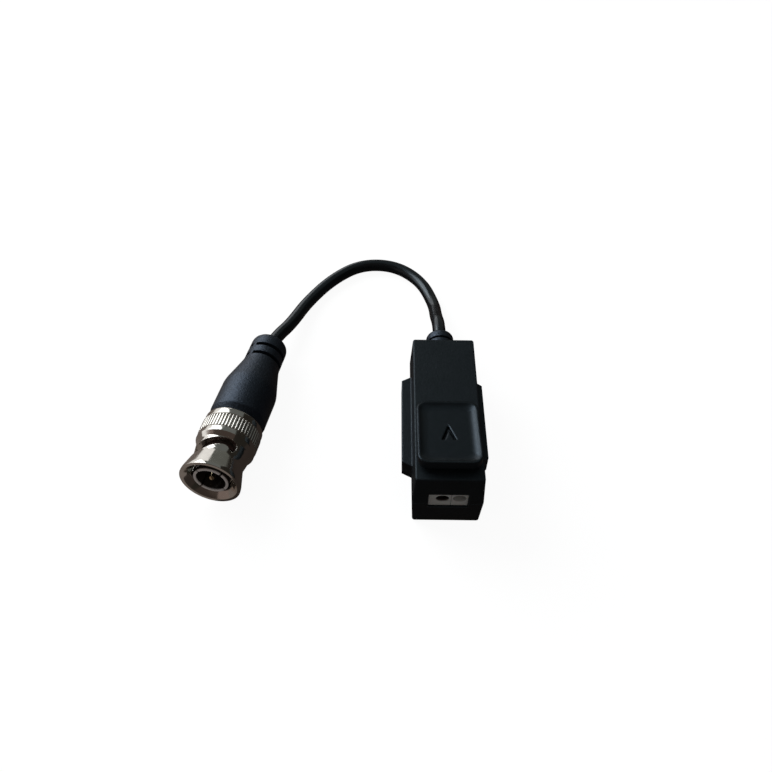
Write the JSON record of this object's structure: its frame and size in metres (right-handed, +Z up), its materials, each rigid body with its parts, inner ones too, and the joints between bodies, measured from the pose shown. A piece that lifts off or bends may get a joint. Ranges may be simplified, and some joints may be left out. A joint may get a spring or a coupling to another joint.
{
  "type": "cctv video balun",
  "caption": "Small black box with a rocking press key, two wire entries and a short coaxial lead ending in a bayonet plug with a moulded boot.",
  "frame": {"origin": "middle of the housing's flat base, at the height of its foot", "axes": "+Z up, +Y towards the cable exit, -Y towards the wire entries, +X to the right seen from the wire entries"},
  "size_m": [0.0699, 0.0874, 0.0205],
  "materials": {
    "housing_black": "fine spark texture",
    "key_black": "satin",
    "terminal_nylon": "satin",
    "spring_steel": "bright",
    "tinned_brass": "tinned",
    "board_green": "solder mask",
    "ferrite": "sintered",
    "copper_wire": "enamelled",
    "ceramic_tube": "glazed",
    "film_cap": "dipped",
    "resistor_body": "lacquer",
    "lead_white": "smooth",
    "lead_black": "smooth",
    "pvc_matte": "moulded",
    "pvc_gloss": "glossy jacket",
    "nickel": "bright nickel plate",
    "gold_plate": "gold plate",
    "dark_insulator": "satin",
    "gasket_rubber": "matt",
    "dielectric": "smooth"
  },
  "bodies": {
    "root": {"upper_shell": "housing_black", "lower_shell": "housing_black", "terminal_block_left": "terminal_nylon", "terminal_block_right": "terminal_nylon", "contact_bar_left": "tinned_brass", "contact_bar_right": "tinned_brass", "clamp_spring_left": "spring_steel", "clamp_spring_right": "spring_steel", "circuit_board": "board_green", "transformer_core": "ferrite", "transformer_winding": "copper_wire", "surge_protector": "ceramic_tube", "resistor": "resistor_body", "capacitor": "film_cap", "coax_core_lead": "lead_white", "coax_shield_lead": "lead_black", "cable_gland": "pvc_matte", "cable": "pvc_gloss", "boot": "pvc_matte", "plug_body": "nickel", "outer_contact": "nickel", "plug_gasket": "gasket_rubber", "wave_washer": "spring_steel", "retaining_ring": "spring_steel", "plug_insulator": "dark_insulator", "centre_pin": "gold_plate", "coax_tail": "dielectric", "crimp_ferrule": "nickel"},
    "press_key": {"press_key": "key_black"},
    "thrust_washer": {"thrust_washer": "nickel"},
    "coupling_sleeve": {"coupling_sleeve": "nickel"}
  },
  "joints": [
    {"name": "key_rock", "type": "hinge", "parent": "root", "child": "press_key", "pos_m": [0, -0.0016, 0.0149], "axis": [1, 0, 0], "range_deg": [0, 3.5], "stiffness_Nm_per_rad": 0.5, "springref_deg": -2.86, "deforming": ["clamp_spring_left", "clamp_spring_right"]},
    {"name": "sleeve_pull", "type": "slide", "parent": "root", "child": "thrust_washer", "axis": [-0.1801, -0.9812, 0.0698], "range_m": [0, 0.0005], "stiffness_N_per_m": 4000, "springref_m": -0.0002, "deforming": ["wave_washer"]},
    {"name": "sleeve_turn", "type": "hinge", "parent": "thrust_washer", "child": "coupling_sleeve", "pos_m": [-0.05186, -0.0087, 0.00827], "axis": [-0.1801, -0.9812, 0.0698], "continuous": true}
  ]
}
